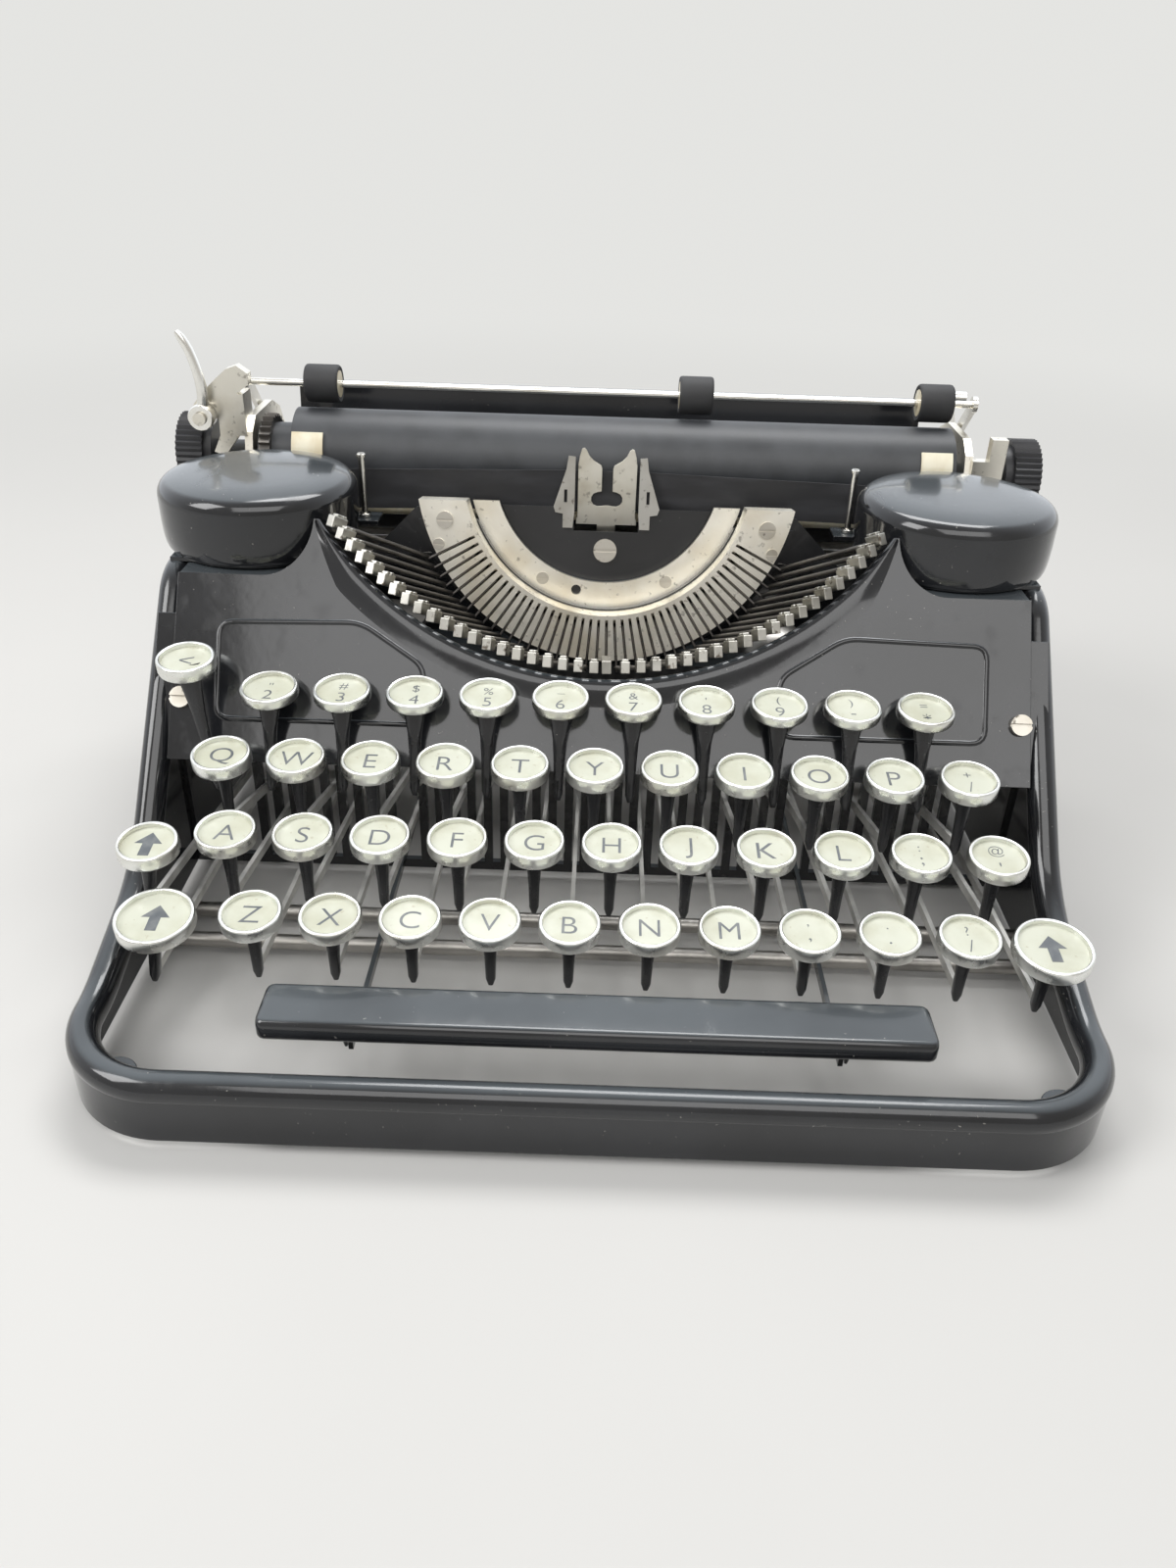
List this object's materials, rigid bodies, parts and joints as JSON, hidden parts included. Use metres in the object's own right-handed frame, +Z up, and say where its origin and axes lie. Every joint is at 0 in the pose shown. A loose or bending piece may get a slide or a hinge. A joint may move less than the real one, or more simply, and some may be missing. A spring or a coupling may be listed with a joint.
{
  "type": "portable typewriter",
  "caption": "Portable typewriter with an open-front black frame, round rimmed keys, an upright type segment, lidded ribbon cups and a sliding platen carriage.",
  "frame": {"origin": "middle of the footprint on the table, carriage centred", "axes": "X along the platen to the right, Y from the keyboard to the back, Z up"},
  "size_m": [0.28, 0.2697, 0.1514],
  "materials": {
    "black_enamel": "glossy black enamel with fine wear",
    "nickel_plate": "worn nickel plate, warm",
    "tool_steel": "bare steel, slightly oiled",
    "platen_rubber": "hard dark rubber",
    "knob_plastic": "black moulded knobs",
    "ivory_tabs": "ivory celluloid",
    "ribbon_cloth": "inked woven cotton"
  },
  "bodies": {
    "base": {"base_frame": "black_enamel", "front_cover": "black_enamel", "screws": "nickel_plate", "rubber_feet": "platen_rubber", "left_spool_cup": "black_enamel", "right_spool_cup": "black_enamel", "left_cup_lid": "black_enamel", "right_cup_lid": "black_enamel", "ribbon": "ribbon_cloth", "ribbon_guides": "nickel_plate", "type_guide": "nickel_plate", "type_segment": "nickel_plate", "pivot_wire": "tool_steel", "segment_bracket": "black_enamel", "segment_band": "nickel_plate", "segment_plate": "black_enamel", "typebars": "tool_steel", "type_rest": "platen_rubber", "lever_rods": "tool_steel", "key_comb": "tool_steel", "carriage_rails": "tool_steel", "bell": "nickel_plate"},
    "truck": {"carriage_truck": "tool_steel", "carriage_rack": "tool_steel"},
    "platen_carriage": {"platen_frame": "nickel_plate", "paper_table": "black_enamel", "paper_fingers": "ivory_tabs"},
    "platen_roll": {"platen": "platen_rubber", "platen_knobs": "knob_plastic", "ratchet_wheel": "tool_steel"},
    "home_key_01_body": {"home_key_01": "nickel_plate"},
    "home_key_02_body": {"home_key_02": "nickel_plate"},
    "home_key_03_body": {"home_key_03": "nickel_plate"},
    "home_key_04_body": {"home_key_04": "nickel_plate"},
    "home_key_05_body": {"home_key_05": "nickel_plate"},
    "home_key_06_body": {"home_key_06": "nickel_plate"},
    "home_key_07_body": {"home_key_07": "nickel_plate"},
    "home_key_08_body": {"home_key_08": "nickel_plate"},
    "home_key_09_body": {"home_key_09": "nickel_plate"},
    "home_key_10_body": {"home_key_10": "nickel_plate"},
    "home_key_11_body": {"home_key_11": "nickel_plate"},
    "lower_row_keys_body": {"lower_row_keys": "nickel_plate"},
    "upper_row_keys_body": {"upper_row_keys": "nickel_plate"},
    "number_row_keys_body": {"number_row_keys": "nickel_plate"},
    "space_bar_body": {"space_bar": "black_enamel"},
    "shift_lock_key_body": {"shift_lock_key": "nickel_plate"},
    "back_space_key_body": {"back_space_key": "nickel_plate"},
    "shift_keys_body": {"shift_keys": "nickel_plate"},
    "striking_typebar_body": {"striking_typebar": "tool_steel"},
    "ribbon_vibrator_body": {"ribbon_vibrator": "nickel_plate"},
    "feed_roller_body": {"feed_roller": "platen_rubber"},
    "line_space_lever_body": {"line_space_lever": "nickel_plate"},
    "paper_bail_body": {"paper_bail": "nickel_plate"},
    "bail_rollers_body": {"bail_rollers": "platen_rubber"},
    "paper_release_lever_body": {"paper_release_lever": "nickel_plate"},
    "left_spool_body": {"left_spool": "tool_steel"},
    "right_spool_body": {"right_spool": "tool_steel"},
    "mainspring_drum_body": {"mainspring_drum": "tool_steel"},
    "escapement_wheel_body": {"escapement_wheel": "tool_steel"}
  },
  "joints": [
    {"name": "home_key_01_press", "type": "hinge", "parent": "base", "child": "home_key_01_body", "pos_m": [0, 0.045, 0.012], "axis": [1, 0, 0], "range_deg": [0, 5], "stiffness_Nm_per_rad": 0.35, "springref_deg": -9.74},
    {"name": "home_key_02_press", "type": "hinge", "parent": "base", "child": "home_key_02_body", "pos_m": [0, 0.045, 0.012], "axis": [1, 0, 0], "range_deg": [0, 5], "stiffness_Nm_per_rad": 0.35, "springref_deg": -9.74},
    {"name": "home_key_03_press", "type": "hinge", "parent": "base", "child": "home_key_03_body", "pos_m": [0, 0.045, 0.012], "axis": [1, 0, 0], "range_deg": [0, 5], "stiffness_Nm_per_rad": 0.35, "springref_deg": -9.74},
    {"name": "home_key_04_press", "type": "hinge", "parent": "base", "child": "home_key_04_body", "pos_m": [0, 0.045, 0.012], "axis": [1, 0, 0], "range_deg": [0, 5], "stiffness_Nm_per_rad": 0.35, "springref_deg": -9.74},
    {"name": "home_key_05_press", "type": "hinge", "parent": "base", "child": "home_key_05_body", "pos_m": [0, 0.045, 0.012], "axis": [1, 0, 0], "range_deg": [0, 5], "stiffness_Nm_per_rad": 0.35, "springref_deg": -9.74},
    {"name": "home_key_06_press", "type": "hinge", "parent": "base", "child": "home_key_06_body", "pos_m": [0, 0.045, 0.012], "axis": [1, 0, 0], "range_deg": [0, 5], "stiffness_Nm_per_rad": 0.35, "springref_deg": -9.74},
    {"name": "home_key_07_press", "type": "hinge", "parent": "base", "child": "home_key_07_body", "pos_m": [0, 0.045, 0.012], "axis": [1, 0, 0], "range_deg": [0, 5], "stiffness_Nm_per_rad": 0.35, "springref_deg": -9.74},
    {"name": "home_key_08_press", "type": "hinge", "parent": "base", "child": "home_key_08_body", "pos_m": [0, 0.045, 0.012], "axis": [1, 0, 0], "range_deg": [0, 5], "stiffness_Nm_per_rad": 0.35, "springref_deg": -9.74},
    {"name": "home_key_09_press", "type": "hinge", "parent": "base", "child": "home_key_09_body", "pos_m": [0, 0.045, 0.012], "axis": [1, 0, 0], "range_deg": [0, 5], "stiffness_Nm_per_rad": 0.35, "springref_deg": -9.74},
    {"name": "home_key_10_press", "type": "hinge", "parent": "base", "child": "home_key_10_body", "pos_m": [0, 0.045, 0.012], "axis": [1, 0, 0], "range_deg": [0, 5], "stiffness_Nm_per_rad": 0.35, "springref_deg": -9.74},
    {"name": "home_key_11_press", "type": "hinge", "parent": "base", "child": "home_key_11_body", "pos_m": [0, 0.045, 0.012], "axis": [1, 0, 0], "range_deg": [0, 5], "stiffness_Nm_per_rad": 0.35, "springref_deg": -9.74},
    {"name": "lower_row_keys_press", "type": "hinge", "parent": "base", "child": "lower_row_keys_body", "pos_m": [0, 0.045, 0.012], "axis": [1, 0, 0], "range_deg": [0, 5], "stiffness_Nm_per_rad": 3.6, "springref_deg": -9.74},
    {"name": "upper_row_keys_press", "type": "hinge", "parent": "base", "child": "upper_row_keys_body", "pos_m": [0, 0.045, 0.012], "axis": [1, 0, 0], "range_deg": [0, 4], "stiffness_Nm_per_rad": 3.2, "springref_deg": -9.74},
    {"name": "number_row_keys_press", "type": "hinge", "parent": "base", "child": "number_row_keys_body", "pos_m": [0, 0.045, 0.012], "axis": [1, 0, 0], "range_deg": [0, 5], "stiffness_Nm_per_rad": 2.8, "springref_deg": -9.74},
    {"name": "space_bar_press", "type": "hinge", "parent": "base", "child": "space_bar_body", "pos_m": [0, 0.045, 0.012], "axis": [1, 0, 0], "range_deg": [0, 2.9], "stiffness_Nm_per_rad": 1.6, "springref_deg": -9.74},
    {"name": "shift_lock_key_press", "type": "hinge", "parent": "base", "child": "shift_lock_key_body", "pos_m": [0, 0.045, 0.012], "axis": [1, 0, 0], "range_deg": [0, 1.7], "stiffness_Nm_per_rad": 0.35, "springref_deg": -9.74},
    {"name": "back_space_key_press", "type": "hinge", "parent": "base", "child": "back_space_key_body", "pos_m": [0, 0.045, 0.012], "axis": [1, 0, 0], "range_deg": [0, 5], "stiffness_Nm_per_rad": 0.35, "springref_deg": -9.74},
    {"name": "typebar_swing", "type": "hinge", "parent": "base", "child": "striking_typebar_body", "pos_m": [0.00134, 0.0253, 0.0671], "axis": [-0.9996, -0.0056, -0.0262], "range_deg": [0, 99.65]},
    {"name": "vibrator_lift", "type": "slide", "parent": "base", "child": "ribbon_vibrator_body", "axis": [0, 0, 1], "range_m": [0, 0.008]},
    {"name": "carriage_travel", "type": "slide", "parent": "base", "child": "truck", "axis": [1, 0, 0], "range_m": [-0.095, 0.095]},
    {"name": "platen_lift", "type": "slide", "parent": "truck", "child": "platen_carriage", "axis": [0, 0, 1], "range_m": [0, 0.006]},
    {"name": "shift_press", "type": "hinge", "parent": "base", "child": "shift_keys_body", "pos_m": [0, 0.045, 0.012], "axis": [1, 0, 0], "range_deg": [0, 4], "stiffness_Nm_per_rad": 1.4, "springref_deg": -9.74},
    {"name": "platen_turn", "type": "hinge", "parent": "platen_carriage", "child": "platen_roll", "pos_m": [0, 0.064, 0.11], "axis": [1, 0, 0], "continuous": true},
    {"name": "feed_turn", "type": "hinge", "parent": "platen_carriage", "child": "feed_roller_body", "pos_m": [0, 0.067, 0.08982], "axis": [1, 0, 0], "continuous": true},
    {"name": "line_space_swing", "type": "hinge", "parent": "platen_carriage", "child": "line_space_lever_body", "pos_m": [-0.1292, 0.051, 0.1245], "axis": [0, 1, 0], "range_deg": [0, 30], "stiffness_Nm_per_rad": 0.12, "springref_deg": -17.19},
    {"name": "bail_swing", "type": "hinge", "parent": "platen_carriage", "child": "paper_bail_body", "pos_m": [0, 0.084, 0.118], "axis": [-1, 0, 0], "range_deg": [0, 55]},
    {"name": "rollers_turn", "type": "hinge", "parent": "paper_bail_body", "child": "bail_rollers_body", "pos_m": [0, 0.07, 0.1317], "axis": [1, 0, 0], "continuous": true},
    {"name": "release_swing", "type": "hinge", "parent": "platen_carriage", "child": "paper_release_lever_body", "pos_m": [0.119, 0.092, 0.112], "axis": [1, 0, 0], "range_deg": [0, 25]},
    {"name": "left_spool_turn", "type": "hinge", "parent": "base", "child": "left_spool_body", "pos_m": [-0.104, 0.018, 0.105], "axis": [0, 0, 1], "continuous": true},
    {"name": "right_spool_turn", "type": "hinge", "parent": "base", "child": "right_spool_body", "pos_m": [0.104, 0.018, 0.105], "axis": [0, 0, 1], "continuous": true},
    {"name": "drum_turn", "type": "hinge", "parent": "base", "child": "mainspring_drum_body", "pos_m": [-0.088, 0.1062, 0.026], "axis": [0, 0, 1], "range_deg": [-340, 340]},
    {"name": "escapement_turn", "type": "hinge", "parent": "base", "child": "escapement_wheel_body", "pos_m": [0, 0.115, 0.075], "axis": [0, 1, 0], "range_deg": [-990, 990]}
  ],
  "couplings": [
    {"joint": "typebar_swing", "follows": "home_key_06_press", "ratio": 19.93},
    {"joint": "vibrator_lift", "follows": "home_key_06_press", "m_per_rad": 0.091673},
    {"joint": "shift_press", "follows": "platen_lift", "rad_per_m": 11.636},
    {"joint": "feed_turn", "follows": "platen_turn", "ratio": -3},
    {"joint": "drum_turn", "follows": "carriage_travel", "rad_per_m": 60.6},
    {"joint": "escapement_turn", "follows": "carriage_travel", "rad_per_m": 180},
    {"joint": "right_spool_turn", "follows": "left_spool_turn", "ratio": 1}
  ]
}
